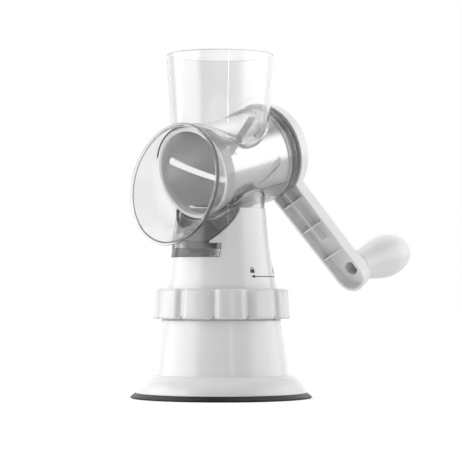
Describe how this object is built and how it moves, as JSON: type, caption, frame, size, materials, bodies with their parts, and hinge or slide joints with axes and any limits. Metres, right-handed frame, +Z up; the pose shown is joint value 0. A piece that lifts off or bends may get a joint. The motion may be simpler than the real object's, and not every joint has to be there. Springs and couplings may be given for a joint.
{
  "type": "rotary vegetable shredder",
  "caption": "Hand-cranked rotary cabbage shredder: clear hopper over a slotted steel drum in a clear barrel, on a white tower with a twist-lock suction foot.",
  "frame": {"origin": "on the table, under the middle of the suction pad", "axes": "+Z up along the tower's axis; the outlet mouth faces -Y and the crank is at the +Y end of the barrel, whose axis lies in the YZ plane"},
  "size_m": [0.158, 0.2667, 0.2993],
  "materials": {
    "pad_rubber": "satin black rubber",
    "white_shell": "glossy white moulded plastic",
    "white_ring": "glossy white moulded plastic",
    "inner_plastic": "plain moulded plastic, hidden",
    "fastener_steel": "bright turned steel",
    "clear_plastic": "clear, faintly grey moulded plastic",
    "drum_steel": "polished stainless sheet",
    "drum_plastic": "white moulded plastic",
    "crank_white": "glossy white moulded plastic"
  },
  "bodies": {
    "base": {"suction_pad": "pad_rubber", "base_shell": "white_shell", "upper_tower": "white_shell", "tower_screws": "fastener_steel"},
    "ring": {"lock_ring": "white_ring"},
    "lifter": {"pull_plate": "inner_plastic", "pull_rod": "fastener_steel", "cross_pin": "fastener_steel", "rod_nut": "fastener_steel", "rod_washer": "fastener_steel"},
    "housing": {"housing": "clear_plastic"},
    "drum": {"drum_cylinder": "drum_steel", "drum_front_ring": "drum_plastic", "drum_rear_cap": "drum_plastic"},
    "crank": {"crank_arm": "crank_white", "drive_shaft": "fastener_steel", "shaft_screw": "fastener_steel", "shaft_washer": "fastener_steel"},
    "knob": {"knob_grip": "crank_white", "knob_screw": "fastener_steel", "knob_washer": "fastener_steel"}
  },
  "joints": [
    {"name": "ring_turn", "type": "hinge", "parent": "base", "child": "ring", "pos_m": [0, 0, 0.0687], "axis": [0, 0, 1], "range_deg": [-45, 0]},
    {"name": "pad_lift", "type": "slide", "parent": "base", "child": "lifter", "axis": [0, 0, 1], "range_m": [0, 0.004]},
    {"name": "housing_slide", "type": "slide", "parent": "base", "child": "housing", "axis": [0, -1, 0], "range_m": [0, 0.032]},
    {"name": "drum_spin", "type": "hinge", "parent": "housing", "child": "drum", "pos_m": [0, 0, 0.203], "axis": [0, 0.9703, 0.2419], "continuous": true},
    {"name": "crank_pull", "type": "slide", "parent": "drum", "child": "crank", "axis": [0, 0.9703, 0.2419], "range_m": [0, 0.03]},
    {"name": "knob_spin", "type": "hinge", "parent": "crank", "child": "knob", "pos_m": [0.05105, 0.02774, 0.09176], "axis": [0, 0.9703, 0.2419], "continuous": true}
  ],
  "couplings": [
    {"joint": "pad_lift", "follows": "ring_turn", "m_per_rad": -0.005093}
  ]
}
